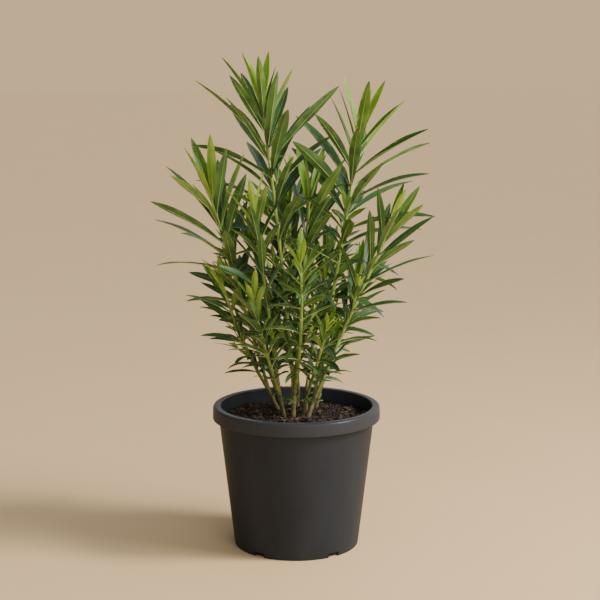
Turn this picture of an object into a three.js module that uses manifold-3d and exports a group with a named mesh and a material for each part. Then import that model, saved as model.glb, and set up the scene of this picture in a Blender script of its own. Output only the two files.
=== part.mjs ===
// A young oleander of several canes in a round nursery pot. Millimetres, +Z up.
// The origin is the centre of the pot's flat underside, and -Y is the side that faces the viewer.
import * as THREE from "three";
import { mergeVertices } from "three/addons/utils/BufferGeometryUtils.js";
import Module from "manifold-3d";

const wasm = await Module();
wasm.setup();

// Pot
const RIM_RADIUS = 140;
const RIM_TOP = 238.6;
const RIM_BAND = 22.4;
const RIM_ROUND = 3;
const LIP_RADIUS = 127;
const WALL_TOP_RADIUS = 130;
const BASE_RADIUS = 104.6;
const BASE_ROUND = 1.6;
const WALL = 2.6;
const FLOOR = 3.5;
const POT_SIDES = 48;
const NOTCH = { count: 5, width: 20, height: 8, depth: 9, firstDegrees: 18 };

// Potting soil: a low dome with lumps
const SOIL_LEVEL = 212;
const SOIL_DOME = 3;
const SOIL_LUMP = 2.4;
const SOIL_RINGS = 4;
const SOIL_SIDES = 24;
const SOIL_SEED = 41;

// Space kept between neighbouring solids
const GAP = 0.3;
const LEAF_CLEARANCE = 0.5;
const POT_CLEARANCE = 3;
const SHORTEST_EDGE = 0.05;

// Stems: radius by the distance below the growing tip, and a swelling where a cane leaves the soil
const STEM_RADIUS = [[0, 1.5], [25, 2.2], [110, 2.7], [300, 2.9], [480, 3]];
const FOOT_SWELLING = 0.8;
const FOOT_SWELLING_SHARE = 0.3;
const CANE_SIDES = 8;
const CANE_STEPS = 4;
const BOUGH_STEPS = 3;
const SHOOT_SIDES = 4;
const SHOOT_STEPS = 4;
const CURVE_STEPS = 32;

// Whorls of three leaves, read off by the distance below the growing tip in mm. Angles are in degrees.
const LEAVES_PER_WHORL = 3;
const LEAF_TURN = 120;
const WHORL_TURN = 60;
const FIRST_WHORL = 5;
const LOWEST_WHORL_ROOM = 4;
const WHORL_GAP = [[0, 20], [60, 26], [200, 33]];
const GAP_VARIES = 0.2;
const YOUNG_SHARE = [[0, 0.56], [28, 0.72], [70, 0.95], [110, 1]];
const SPREAD = [[0, 14], [30, 26], [80, 37], [160, 46], [260, 54]];
const BEND = [[0, 5], [40, 11], [100, 22], [180, 32], [280, 42]];

// How far the draws take each leaf from its rule, from end to end, and how a leaf without room turns aside
const LEAF_VARIES = { bearing: 24, spread: 14, bend: 1, length: 0.3, roll: 70 };
const ASIDE = { bearing: 70, spread: 16, shorter: 0.05 };
const ATTEMPTS = 5;

// Leaf length grows with the height of its whorl
const LEAF_LONGEST = 172;
const LEAF_START_HEIGHT = 218;
const LEAF_FULL_RISE = 430;
const LEAF_GROWTH_POWER = 0.62;
const LEAF_LOWEST_SHARE = 0.12;

// Blade: a spindle with points at its root and tip, rings between them, and a keel under the midrib
const LEAF_CORNERS = 3;
const LEAF_RINGS = [0.35, 0.75];
const SMALL_LEAF = 110;
const SMALL_LEAF_RINGS = [0.58];
const LEAF_WIDTH = { least: 2, share: 0.113 };
const LEAF_OUTLINE = { forward: 1.25, fullness: 0.72 };
const KEEL = { least: 1.2, share: 0.014 };
const MIDRIB_STEPS = 20;
const SHARED_ROOT = 12;

// Side twigs in the axils of older whorls
const TWIG_SIDES = 3;
const TWIG_STEPS = 2;
const TWIG_RADIUS = { foot: 1.3, tip: 0.8 };
const TWIG_FROM = 95;
const TWIG_SHARE = 0.35;
const TWIG_LEAN = { least: 32, range: 16 };
const TWIG_LENGTH = { least: 26, range: 26, fullReach: 95 };
const TWIG_UPTURN = 0.7;
const TWIG_WHORLS = { first: 3, gap: 16, gapShare: 0.12, leafyShare: 0.72, ageShare: 2.2 };
const TWIG_LEAF_SHARE = 0.45;
const SPUR_LEAN = 40;
const SPUR_ORDER = 90;

// Factors that give each twig and leaf its own seed, and what is added at the end
const TWIG_SEEDS = [104729, 17, 5];
const LEAF_SEEDS = [7919, 31, 7, 1];
const TWIG_LEAF_SEEDS = [6007, 131, 37, 11, 3];

// Canes: foot on the soil, fork, and radius at the fork
const CANES = {
  centre: { foot: [-6, -3], fork: [-4, -2, 252], radius: 4.3 },
  right: { foot: [18, -3], fork: [28, 5, 240], radius: 3.9 },
  left: { foot: [-19, 0], fork: [-27, -4, 250], radius: 3.6 },
  left_rear: { foot: [-29, 44], fork: [-46, 42, 250], radius: 3.4 },
  right_front: { foot: [9, 14], fork: [17, 7, 250], radius: 2.8 },
  right_rear: { foot: [16, 42], fork: [18, 46, 258], radius: 3 },
  rear: { foot: [1, 60], fork: [3, 58, 250], radius: 3.4 },
  rear_left: { foot: [-24, 66], fork: [-36, 70, 248], radius: 3.3 },
  rear_right: { foot: [32, 58], fork: [40, 60, 246], radius: 3.3 },
};

// Shoots: each leaves the fork of its cane, bends once and ends in a growing tip. "bare" is the length of
// the leafless bough under its foliage. "bearing" turns the topmost whorl, counted from +X about +Z.
const SHOOTS = {
  tall_left: {
    cane: "centre", bend: [-22, 15, 488], tip: [-56, 30, 728],
    bare: 50, bearing: 110, seed: 388, openness: 1.04, size: 0.97, spacing: 0.88,
  },
  tall_right: {
    cane: "right", bend: [69, 17, 460], tip: [104, 30, 681],
    bare: 32, bearing: 30, seed: 842, openness: 1.24, size: 1.04, spacing: 0.84,
  },
  far_right: {
    cane: "right", bend: [88, -8, 395], tip: [160, -15, 547],
    bare: 30, bearing: 66, seed: 1592, openness: 0.8, size: 0.97, spacing: 0.92, twigShare: 0.15,
    spur: { below: 178, bearing: 262, length: 72 },
  },
  far_left: {
    cane: "left_rear", bend: [-94, 38, 420], tip: [-139, 10, 578],
    bare: 20, bearing: 22, seed: 181, openness: 0.95, size: 1.18, spacing: 1.04,
  },
  low_left: {
    cane: "left_rear", bend: [-93, 12, 335], tip: [-121, -20, 445],
    bare: 20, bearing: 75, seed: 677, openness: 1.06, size: 0.95, spacing: 1.12,
  },
  mid_left: {
    cane: "left", bend: [-47, -8, 408], tip: [-68, -30, 563],
    bare: 26, bearing: 30, seed: 1938, openness: 0.85, size: 0.8, spacing: 1.04,
  },
  front_left: {
    cane: "left", bend: [-54, -38, 345], tip: [-70, -75, 423],
    bare: 26, bearing: 30, seed: 1081, openness: 0.84, size: 0.92, spacing: 0.9,
  },
  centre: {
    cane: "centre", bend: [9, 14, 415], tip: [22, 20, 580],
    bare: 46, bearing: 75, seed: 774, openness: 1, size: 1.1, spacing: 1,
  },
  front: {
    cane: "centre", bend: [14, -46, 370], tip: [6, -95, 490],
    bare: 34, bearing: 70, seed: 550, openness: 1.35, size: 0.78, spacing: 0.84,
  },
  front_right: {
    cane: "right_front", bend: [34, -32, 310], tip: [50, -52, 376],
    bare: 14, bearing: 98, seed: 1458, openness: 1.28, size: 0.86, spacing: 0.86,
  },
  rear_right: {
    cane: "right_rear", bend: [30, 62, 355], tip: [59, 75, 469],
    bare: 14, bearing: 18, seed: 478, openness: 1.1, size: 1.08, spacing: 0.92,
  },
  rear_centre: {
    cane: "rear", bend: [-4, 74, 410], tip: [-14, 92, 555],
    bare: 36, bearing: 66, seed: 1576, openness: 0.89, size: 1.08, spacing: 0.86,
  },
  rear_left: {
    cane: "rear", bend: [-30, 84, 380], tip: [-78, 104, 500],
    bare: 36, bearing: 114, seed: 1006, openness: 0.89, size: 1.08, spacing: 0.88,
  },
  back_left: {
    cane: "rear_left", bend: [-70, 96, 350], tip: [-112, 112, 425],
    bare: 24, bearing: 81, seed: 809, openness: 1.12, size: 1.08, spacing: 0.92,
  },
  back_low: {
    cane: "rear_left", bend: [-38, 108, 340], tip: [-34, 140, 420],
    bare: 24, bearing: 84, seed: 509, openness: 0.8, size: 1.08, spacing: 1.25,
  },
  back_right: {
    cane: "rear_right", bend: [78, 80, 350], tip: [112, 98, 440],
    bare: 24, bearing: 74, seed: 1024, openness: 0.89, size: 1.08, spacing: 1.04,
  },
  back_low_right: {
    cane: "rear_right", bend: [52, 100, 340], tip: [48, 138, 425],
    bare: 24, bearing: 80, seed: 659, openness: 0.8, size: 1.06, spacing: 0.84,
  },
};

// Colours, as linear values of red, green and blue
const POT_COLOUR = [0.022, 0.022, 0.023];
const SOIL_COLOUR = [0.035, 0.021, 0.013];
const BARK_COLOUR = [0.17, 0.135, 0.06];
const LEAF_COLOUR = [0.055, 0.13, 0.022];

// Plain vector helpers on [x, y, z] arrays
const add = (a, b) => [a[0] + b[0], a[1] + b[1], a[2] + b[2]];
const subtract = (a, b) => [a[0] - b[0], a[1] - b[1], a[2] - b[2]];
const scale = (a, s) => [a[0] * s, a[1] * s, a[2] * s];
const dot = (a, b) => a[0] * b[0] + a[1] * b[1] + a[2] * b[2];
const cross = (a, b) => [a[1] * b[2] - a[2] * b[1], a[2] * b[0] - a[0] * b[2], a[0] * b[1] - a[1] * b[0]];
const unit = (a) => scale(a, 1 / Math.sqrt(dot(a, a)));
const distance = (a, b) => Math.sqrt(dot(subtract(a, b), subtract(a, b)));
const radians = (degrees) => (degrees * Math.PI) / 180;

// A repeatable stream of numbers from 0 to 1 for each seed
function randomFrom(seed) {
  let state = seed >>> 0;
  return () => {
    state = (state + 0x6d2b79f5) >>> 0;
    let mix = Math.imul(state ^ (state >>> 15), state | 1);
    mix = (mix + Math.imul(mix ^ (mix >>> 7), mix | 61)) ^ mix;
    return ((mix ^ (mix >>> 14)) >>> 0) / 4294967296;
  };
}

// A draw spread evenly to both sides of zero, over a range from end to end
const either = (draw, range) => range * (draw() - 0.5);

// The seed of one twig or leaf: its numbers times their factors, plus the last factor
const seedFrom = (factors, ...numbers) =>
  numbers.reduce((sum, number, i) => sum + number * factors[i], factors[factors.length - 1]);

// Reads a table of [x, y] rows: straight between its rows and level outside them
function readTable(table, x) {
  if (x <= table[0][0]) return table[0][1];
  for (let row = 1; row < table.length; row += 1) {
    const [x0, y0] = table[row - 1];
    const [x1, y1] = table[row];
    if (x <= x1) return y0 + ((y1 - y0) * (x - x0)) / (x1 - x0);
  }
  return table[table.length - 1][1];
}

// A limb follows a curve with one bend: [start, bend, tip], with places from 0 to 1
function pointOn([start, bend, tip], place) {
  const early = add(scale(start, (1 - place) ** 2), scale(bend, 2 * place * (1 - place)));
  return add(early, scale(tip, place * place));
}

function directionOn([start, bend, tip], place) {
  const early = scale(subtract(bend, start), 2 * (1 - place));
  return unit(add(early, scale(subtract(tip, bend), 2 * place)));
}

function lengthOf(curve) {
  let total = 0;
  for (let i = 1; i <= CURVE_STEPS; i += 1) {
    total += distance(pointOn(curve, (i - 1) / CURVE_STEPS), pointOn(curve, i / CURVE_STEPS));
  }
  return total;
}

// The place on a curve that lies a given length below its tip
function placeBelowTip(curve, below) {
  let walked = 0;
  let last = pointOn(curve, 1);
  for (let i = 1; i <= CURVE_STEPS; i += 1) {
    const next = pointOn(curve, 1 - i / CURVE_STEPS);
    const step = distance(last, next);
    if (walked + step >= below) return 1 - (i - 1 + (below - walked) / step) / CURVE_STEPS;
    walked += step;
    last = next;
  }
  return 0;
}

// The direction square to an axis at a bearing, where bearing 0 lies as near to +X as it can
function outward(axis, bearing) {
  const first = unit(subtract([1, 0, 0], scale(axis, axis[0])));
  const second = cross(axis, first);
  return add(scale(first, Math.cos(bearing)), scale(second, Math.sin(bearing)));
}

// Bends a closed upright cylinder. position(share, corner) gives the place of each vertex, from its share
// of the height and its corner of the section, which is -1 on the axis.
function bentCylinder(sides, steps, position) {
  const geometry = new THREE.CylinderGeometry(1, 1, 1, sides, steps);
  const vertices = geometry.attributes.position;
  for (let i = 0; i < vertices.count; i += 1) {
    const x = vertices.getX(i);
    const z = vertices.getZ(i);
    const onAxis = Math.hypot(x, z) < 1e-6;
    const corner = Math.round((Math.atan2(x, z) * sides) / (2 * Math.PI) + sides) % sides;
    vertices.setXYZ(i, ...position(vertices.getY(i) + 0.5, onAxis ? -1 : corner));
  }
  return geometry;
}

// From a geometry to a solid, and back
function solidFrom(geometry) {
  const shape = geometry.clone();
  shape.deleteAttribute("normal");
  shape.deleteAttribute("uv");
  const merged = mergeVertices(shape, 1e-4);
  const vertProperties = new Float32Array(merged.attributes.position.array);
  const triVerts = new Uint32Array(merged.index.array);
  return new wasm.Manifold(new wasm.Mesh({ numProp: 3, vertProperties, triVerts }));
}

function geometryFrom(solid) {
  const { vertProperties, triVerts } = solid.getMesh();
  const geometry = new THREE.BufferGeometry();
  geometry.setAttribute("position", new THREE.BufferAttribute(vertProperties, 3));
  geometry.setIndex(new THREE.BufferAttribute(triVerts, 1));
  geometry.computeVertexNormals();
  return geometry;
}

// A cut or a join can leave scraps: the largest closed piece is the part
function largestPiece(solid) {
  const pieces = solid.simplify(SHORTEST_EDGE).decompose();
  return pieces.reduce((best, piece) => (piece.volume() > best.volume() ? piece : best));
}

// A round limb along a stretch of a curve. "grow" makes it thicker and longer all round.
function limbGeometry({ curve, from, to, sides, steps, radiusAt }, grow = 0) {
  return bentCylinder(sides, steps, (share, corner) => {
    const place = from + (to - from) * share;
    const direction = directionOn(curve, place);
    const end = share < 1e-6 ? -grow : share > 1 - 1e-6 ? grow : 0;
    const centre = add(pointOn(curve, place), scale(direction, end));
    if (corner < 0) return centre;
    const radius = radiusAt(share) + grow / Math.cos(Math.PI / sides);
    return add(centre, scale(outward(direction, (2 * Math.PI * corner) / sides), radius));
  });
}

// Length of a full-grown leaf on a whorl at a height
function leafReach(height) {
  const rise = (height - LEAF_START_HEIGHT) / LEAF_FULL_RISE;
  return LEAF_LONGEST * Math.max(LEAF_LOWEST_SHARE, Math.min(1, rise)) ** LEAF_GROWTH_POWER;
}

// Each leaf has a list of choices: the first is its natural place, and the others turn aside from it
function leafChoices({ root, axis, below, seed, turn, reach, openness }) {
  const draw = randomFrom(seed);
  const choices = [];
  for (let attempt = 0; attempt < ATTEMPTS; attempt += 1) {
    const aside = Math.min(attempt, 1);
    const bearing = radians(turn + either(draw, LEAF_VARIES.bearing) + aside * either(draw, ASIDE.bearing));
    const wander = either(draw, LEAF_VARIES.spread) + aside * either(draw, ASIDE.spread);
    const spread = radians(readTable(SPREAD, below) * openness + wander);
    const bend = radians(readTable(BEND, below) * (1 + either(draw, LEAF_VARIES.bend)));
    const share = (1 + either(draw, LEAF_VARIES.length)) * (1 - ASIDE.shorter * attempt);
    const length = reach * readTable(YOUNG_SHARE, below) * share;
    const roll = radians(either(draw, LEAF_VARIES.roll));
    choices.push({ root, axis, bearing, spread, bend, length, roll });
  }
  return choices;
}

// Whorls from the growing tip down to the bare bough
function whorlsOf(shoot) {
  const draw = randomFrom(shoot.seed);
  const whorls = [];
  let below = FIRST_WHORL;
  while (below < shoot.length - shoot.bare - LOWEST_WHORL_ROOM) {
    const place = placeBelowTip(shoot.curve, below);
    const root = pointOn(shoot.curve, place);
    whorls.push({ root, axis: directionOn(shoot.curve, place), below, order: whorls.length });
    below += readTable(WHORL_GAP, below) * (1 + either(draw, GAP_VARIES)) * shoot.spacing;
  }
  return whorls;
}

// A side twig leaves its axil outwards, then turns up
function twigCurve(root, axis, bearing, lean, length) {
  const sideways = scale(outward(axis, bearing), Math.sin(lean));
  const direction = add(scale(axis, Math.cos(lean)), sideways);
  const knee = add(root, scale(direction, length / 2));
  const upwards = unit(add(direction, [0, 0, TWIG_UPTURN]));
  return [root, knee, add(knee, scale(upwards, length / 2))];
}

function twigsOf(shoot) {
  const twigs = [];
  for (const { root, axis, below, order } of whorlsOf(shoot)) {
    const draw = randomFrom(seedFrom(TWIG_SEEDS, shoot.seed, order));
    if (below > TWIG_FROM && draw() < (shoot.twigShare ?? TWIG_SHARE)) {
      const axil = Math.floor(LEAVES_PER_WHORL * draw());
      const turn = shoot.bearing + WHORL_TURN * (order + 1) + LEAF_TURN * axil;
      const lean = radians(TWIG_LEAN.least + TWIG_LEAN.range * draw());
      const vigour = Math.min(1, leafReach(root[2]) / TWIG_LENGTH.fullReach);
      const length = (TWIG_LENGTH.least + TWIG_LENGTH.range * draw()) * vigour;
      twigs.push({ curve: twigCurve(root, axis, radians(turn), lean, length), length, turn, order });
    }
  }
  if (shoot.spur) {
    const { below, bearing, length } = shoot.spur;
    const place = placeBelowTip(shoot.curve, below);
    const root = pointOn(shoot.curve, place);
    const axis = directionOn(shoot.curve, place);
    const curve = twigCurve(root, axis, radians(bearing), radians(SPUR_LEAN), length);
    twigs.push({ curve, length, turn: bearing, order: SPUR_ORDER });
  }
  return twigs;
}

function twigLimb(twig) {
  const radiusAt = (share) => TWIG_RADIUS.foot + (TWIG_RADIUS.tip - TWIG_RADIUS.foot) * share;
  return { curve: twig.curve, from: 0, to: 1, sides: TWIG_SIDES, steps: TWIG_STEPS, radiusAt };
}

// The leaves of a shoot from its tip down, then those of its side twigs
function leavesOf(shoot) {
  const leaves = [];
  for (const whorl of whorlsOf(shoot)) {
    for (let leaf = 0; leaf < LEAVES_PER_WHORL; leaf += 1) {
      const seed = seedFrom(LEAF_SEEDS, shoot.seed, whorl.order, leaf);
      const turn = shoot.bearing + WHORL_TURN * whorl.order + LEAF_TURN * leaf;
      const reach = leafReach(whorl.root[2]) * shoot.size;
      leaves.push(leafChoices({ ...whorl, seed, turn, reach, openness: shoot.openness }));
    }
  }
  for (const twig of shoot.twigs) {
    let below = TWIG_WHORLS.first;
    for (let order = 0; below < twig.length * TWIG_WHORLS.leafyShare; order += 1) {
      const place = placeBelowTip(twig.curve, below);
      const root = pointOn(twig.curve, place);
      const axis = directionOn(twig.curve, place);
      const reach = leafReach(root[2]) * TWIG_LEAF_SHARE;
      for (let leaf = 0; leaf < LEAVES_PER_WHORL; leaf += 1) {
        const seed = seedFrom(TWIG_LEAF_SEEDS, shoot.seed, twig.order, order, leaf);
        const turn = twig.turn + WHORL_TURN * order + LEAF_TURN * leaf;
        const age = below * TWIG_WHORLS.ageShare;
        leaves.push(leafChoices({ root, axis, below: age, seed, turn, reach, openness: 1 }));
      }
      below += TWIG_WHORLS.gap + TWIG_WHORLS.gapShare * twig.length;
    }
  }
  return leaves;
}

// The midrib arches down from its root. The blade's cross direction is level there, then rolled.
function leafStation(choice, share) {
  const out = outward(choice.axis, choice.bearing);
  const start = add(scale(choice.axis, Math.cos(choice.spread)), scale(out, Math.sin(choice.spread)));
  const level = Math.hypot(start[0], start[1]);
  const tilt = Math.atan2(level, start[2]);
  const compass = [start[0] / level, start[1] / level];
  const along = (angle) => [compass[0] * Math.sin(angle), compass[1] * Math.sin(angle), Math.cos(angle)];
  let centre = choice.root;
  for (let i = 0; i < Math.round(share * MIDRIB_STEPS); i += 1) {
    const angle = tilt + (choice.bend * (i + 0.5)) / MIDRIB_STEPS;
    centre = add(centre, scale(along(angle), choice.length / MIDRIB_STEPS));
  }
  const direction = along(tilt + choice.bend * share);
  const across = [-compass[1], compass[0], 0];
  const upwards = cross(direction, across);
  const side = add(scale(across, Math.cos(choice.roll)), scale(upwards, Math.sin(choice.roll)));
  return { centre, direction, side, face: cross(direction, side) };
}

function leafHalfWidth(length, share) {
  const widest = (LEAF_WIDTH.least + LEAF_WIDTH.share * length) / 2;
  return widest * Math.sin(Math.PI * share ** LEAF_OUTLINE.forward) ** LEAF_OUTLINE.fullness;
}

// A leaf has three corners to its section: left edge, right edge and keel. Its root point is sunk to the
// axis of its stem. "start" moves that point out along the midrib, and "grow" swells the whole leaf.
function leafGeometry(choice, grow = 0, start = 0) {
  const rings = choice.length < SMALL_LEAF ? SMALL_LEAF_RINGS : LEAF_RINGS;
  const stations = [1, ...rings.toReversed(), 0];
  const keel = KEEL.least + KEEL.share * choice.length;
  const geometry = new THREE.SphereGeometry(1, LEAF_CORNERS, rings.length + 1);
  const vertices = geometry.attributes.position;
  for (let i = 0; i < vertices.count; i += 1) {
    const share = stations[Math.floor(i / (LEAF_CORNERS + 1))];
    const corner = (i % (LEAF_CORNERS + 1)) % LEAF_CORNERS;
    const { centre, direction, side, face } = leafStation(choice, share);
    const across = (leafHalfWidth(choice.length, share) + grow) * (corner === 0 ? 1 : -1);
    let place = add(add(centre, scale(side, across)), scale(face, grow));
    if (corner === 2) place = subtract(centre, scale(face, keel + grow));
    if (share === 0) place = add(centre, scale(direction, start));
    if (share === 1) place = add(centre, scale(direction, grow));
    vertices.setXYZ(i, ...place);
  }
  return geometry;
}

// The triangles of a geometry, each as three points, and the box around them
function shapeOf(geometry) {
  const vertices = geometry.toNonIndexed().attributes.position;
  const triangles = [];
  for (let i = 0; i < vertices.count; i += 3) {
    triangles.push([i, i + 1, i + 2].map((k) => [vertices.getX(k), vertices.getY(k), vertices.getZ(k)]));
  }
  const points = triangles.flat();
  const low = [0, 1, 2].map((k) => Math.min(...points.map((point) => point[k])));
  const high = [0, 1, 2].map((k) => Math.max(...points.map((point) => point[k])));
  return { triangles, low, high };
}

const boxesMeet = (a, b) => [0, 1, 2].every((k) => a.low[k] <= b.high[k] && b.low[k] <= a.high[k]);

// Whether the edge from p to q passes through a triangle
function edgePierces(p, q, [a, b, c]) {
  const direction = subtract(q, p);
  const side1 = subtract(b, a);
  const side2 = subtract(c, a);
  const normal = cross(direction, side2);
  const determinant = dot(side1, normal);
  if (Math.abs(determinant) < 1e-12) return false;
  const offset = subtract(p, a);
  const u = dot(offset, normal) / determinant;
  const second = cross(offset, side1);
  const v = dot(direction, second) / determinant;
  const t = dot(side2, second) / determinant;
  return u >= 0 && v >= 0 && u + v <= 1 && t >= 0 && t <= 1;
}

function edgesPierce(edgeOwner, faceOwner) {
  return edgeOwner.triangles.some((corners) =>
    corners.some((p, k) => faceOwner.triangles.some((face) => edgePierces(p, corners[(k + 1) % 3], face))),
  );
}

const shapesMeet = (a, b) => boxesMeet(a, b) && (edgesPierce(a, b) || edgesPierce(b, a));

// Twigs and leaves stay above the soil, and clear of the rim
function clearOfPot(shape) {
  return shape.triangles.flat().every(([x, y, z]) => {
    const overRim = Math.hypot(x, y) > LIP_RADIUS - POT_CLEARANCE;
    const ground = overRim ? RIM_TOP : SOIL_LEVEL + SOIL_DOME + SOIL_LUMP;
    return z > ground + POT_CLEARANCE;
  });
}

// Side twigs that would touch another limb are left out, with their leaves
function placeTwigs(shoots, limbShapes) {
  for (const shoot of shoots) {
    shoot.twigs = [];
    for (const twig of twigsOf(shoot)) {
      const grown = shapeOf(limbGeometry(twigLimb(twig), LEAF_CLEARANCE));
      const touched = limbShapes.some((limb) => limb.owner !== shoot.name && shapesMeet(grown, limb.shape));
      if (!touched && clearOfPot(grown)) {
        shoot.twigs.push(twig);
        limbShapes.push({ owner: shoot.name, shape: shapeOf(limbGeometry(twigLimb(twig))) });
      }
    }
  }
}

// Each leaf takes its first choice that clears all other limbs and leaves. One that finds none is left out.
// Leaves of one shoot may share the short stretch by their roots.
function placeLeaves(shoots, limbShapes) {
  const placed = [];
  for (const shoot of shoots) {
    const limbs = limbShapes.filter((limb) => limb.owner !== shoot.name);
    const isFree = (choice) => {
      const grown = shapeOf(leafGeometry(choice, LEAF_CLEARANCE));
      if (!clearOfPot(grown) || limbs.some((limb) => shapesMeet(grown, limb.shape))) return false;
      const blade = shapeOf(leafGeometry(choice, LEAF_CLEARANCE, SHARED_ROOT));
      return !placed.some((leaf) =>
        leaf.owner === shoot.name ? shapesMeet(blade, leaf.blade) : shapesMeet(grown, leaf.shape),
      );
    };
    shoot.leaves = [];
    for (const choices of leavesOf(shoot)) {
      const choice = choices.find(isFree);
      if (choice) {
        const shape = shapeOf(leafGeometry(choice));
        const blade = shapeOf(leafGeometry(choice, 0, SHARED_ROOT));
        placed.push({ owner: shoot.name, shape, blade });
        shoot.leaves.push(choice);
      }
    }
  }
}

// Canes rise from a flat cut at the soil, with a swelling at the foot
function caneLimb({ foot, fork, radius }) {
  const start = [...foot, SOIL_LEVEL];
  const bend = scale(add(start, fork), 0.5);
  const radiusAt = (share) => radius + FOOT_SWELLING * Math.max(0, 1 - share / FOOT_SWELLING_SHARE) ** 2;
  return { curve: [start, bend, fork], from: 0, to: 1, sides: CANE_SIDES, steps: CANE_STEPS, radiusAt };
}

function stemRadius(shoot, place) {
  return readTable(STEM_RADIUS, shoot.length * (1 - place));
}

// The leafless bough of a shoot, from the fork to its foliage
function boughLimb(shoot) {
  const to = placeBelowTip(shoot.curve, shoot.length - shoot.bare);
  const radiusAt = (share) => stemRadius(shoot, to * share);
  return { curve: shoot.curve, from: 0, to, sides: SHOOT_SIDES, steps: BOUGH_STEPS, radiusAt };
}

// The stem inside a shoot's foliage, a small gap above its bough
function foliageLimb(shoot) {
  const from = placeBelowTip(shoot.curve, shoot.length - shoot.bare - GAP);
  const radiusAt = (share) => stemRadius(shoot, from + (1 - from) * share);
  return { curve: shoot.curve, from, to: 1, sides: SHOOT_SIDES, steps: SHOOT_STEPS, radiusAt };
}

// Foliage: the stem, its twigs and all its leaves, fused
function foliageGeometry(shoot) {
  let solid = solidFrom(limbGeometry(foliageLimb(shoot)));
  for (const twig of shoot.twigs) solid = solid.add(solidFrom(limbGeometry(twigLimb(twig))));
  for (const leaf of shoot.leaves) solid = solid.add(solidFrom(leafGeometry(leaf)));
  return geometryFrom(largestPiece(solid));
}

function insideRadius(height) {
  const outside = BASE_RADIUS + ((WALL_TOP_RADIUS - BASE_RADIUS) * height) / (RIM_TOP - RIM_BAND);
  return Math.min(outside - WALL, LIP_RADIUS);
}

// Pot: a turned wall with a broad rim, and drainage notches cut through the foot of the wall
function potGeometry() {
  const bandFoot = RIM_TOP - RIM_BAND;
  const profile = [
    [0, 0],
    [BASE_RADIUS - BASE_ROUND, 0],
    [BASE_RADIUS, BASE_ROUND],
    [WALL_TOP_RADIUS, bandFoot],
    [RIM_RADIUS - RIM_ROUND / 2, bandFoot],
    [RIM_RADIUS, bandFoot + RIM_ROUND / 2],
    [RIM_RADIUS, RIM_TOP - 2 * RIM_ROUND],
    [RIM_RADIUS - RIM_ROUND, RIM_TOP - RIM_ROUND / 4],
    [RIM_RADIUS - 2 * RIM_ROUND, RIM_TOP],
    [LIP_RADIUS + RIM_ROUND / 2, RIM_TOP],
    [LIP_RADIUS, RIM_TOP - RIM_ROUND / 2],
    [insideRadius(bandFoot), bandFoot],
    [insideRadius(FLOOR), FLOOR],
    [0, FLOOR],
  ];
  const points = profile.map(([radius, height]) => new THREE.Vector2(radius, height));
  const turned = new THREE.LatheGeometry(points, POT_SIDES).rotateX(Math.PI / 2);
  let solid = solidFrom(turned);
  for (let i = 0; i < NOTCH.count; i += 1) {
    const notch = new THREE.BoxGeometry(2 * NOTCH.depth, NOTCH.width, 2 * NOTCH.height);
    notch.translate(BASE_RADIUS, 0, 0);
    notch.rotateZ(radians(NOTCH.firstDegrees + (360 / NOTCH.count) * i));
    solid = solid.subtract(solidFrom(notch));
  }
  return geometryFrom(largestPiece(solid));
}

// Soil: a plug that fills the pot with a lumpy domed top, cut clear of the canes that stand in it
function soilGeometry(canes) {
  const roundness = Math.cos(Math.PI / POT_SIDES);
  const topRadius = insideRadius(SOIL_LEVEL) * roundness - GAP;
  const footRadius = insideRadius(FLOOR) * roundness - GAP;
  const points = [new THREE.Vector2(0, FLOOR + GAP), new THREE.Vector2(footRadius, FLOOR + GAP)];
  for (let ring = SOIL_RINGS; ring >= 0; ring -= 1) {
    const share = ring / SOIL_RINGS;
    points.push(new THREE.Vector2(topRadius * share, SOIL_LEVEL + SOIL_DOME * (1 - share * share)));
  }
  const geometry = new THREE.LatheGeometry(points, SOIL_SIDES);
  const vertices = geometry.attributes.position;
  for (let i = 0; i < vertices.count; i += 1) {
    const row = i % points.length;
    const onAxis = row === points.length - 1;
    const column = onAxis ? 0 : Math.floor(i / points.length) % SOIL_SIDES;
    const lump = randomFrom(SOIL_SEED + row * SOIL_SIDES + column)() * SOIL_LUMP;
    if (row > 2) vertices.setY(i, vertices.getY(i) + lump);
  }
  let solid = solidFrom(geometry.rotateX(Math.PI / 2));
  for (const cane of canes) solid = solid.subtract(solidFrom(limbGeometry(cane, GAP)));
  return geometryFrom(largestPiece(solid));
}

// Keeps what lies above the soil level, for the flat cut at a cane's foot
function cutAtSoil(solid) {
  const below = new THREE.BoxGeometry(2 * RIM_RADIUS, 2 * RIM_RADIUS, SOIL_LEVEL);
  return solid.subtract(solidFrom(below.translate(0, 0, SOIL_LEVEL / 2)));
}

function materialOf(name, colour, roughness) {
  return new THREE.MeshStandardMaterial({ name, color: new THREE.Color(...colour), roughness, metalness: 0 });
}

// A mesh stands at its own reference point, with its geometry counted from there
function meshAt(name, geometry, at, material) {
  geometry.translate(-at[0], -at[1], -at[2]);
  const mesh = new THREE.Mesh(geometry, material);
  mesh.name = name;
  mesh.position.set(...at);
  return mesh;
}

const canes = Object.entries(CANES).map(([name, cane]) => ({ name, limb: caneLimb(cane), fork: cane.fork }));
const shoots = Object.entries(SHOOTS).map(([name, shoot]) => {
  const curve = [CANES[shoot.cane].fork, shoot.bend, shoot.tip];
  return { ...shoot, name, curve, length: lengthOf(curve) };
});

const limbShapes = [];
for (const { limb } of canes) limbShapes.push({ owner: null, shape: shapeOf(limbGeometry(limb)) });
for (const shoot of shoots) {
  limbShapes.push({ owner: null, shape: shapeOf(limbGeometry(boughLimb(shoot))) });
  limbShapes.push({ owner: shoot.name, shape: shapeOf(limbGeometry(foliageLimb(shoot))) });
}
placeTwigs(shoots, limbShapes);
placeLeaves(shoots, limbShapes);

const oleander = new THREE.Group();

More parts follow.
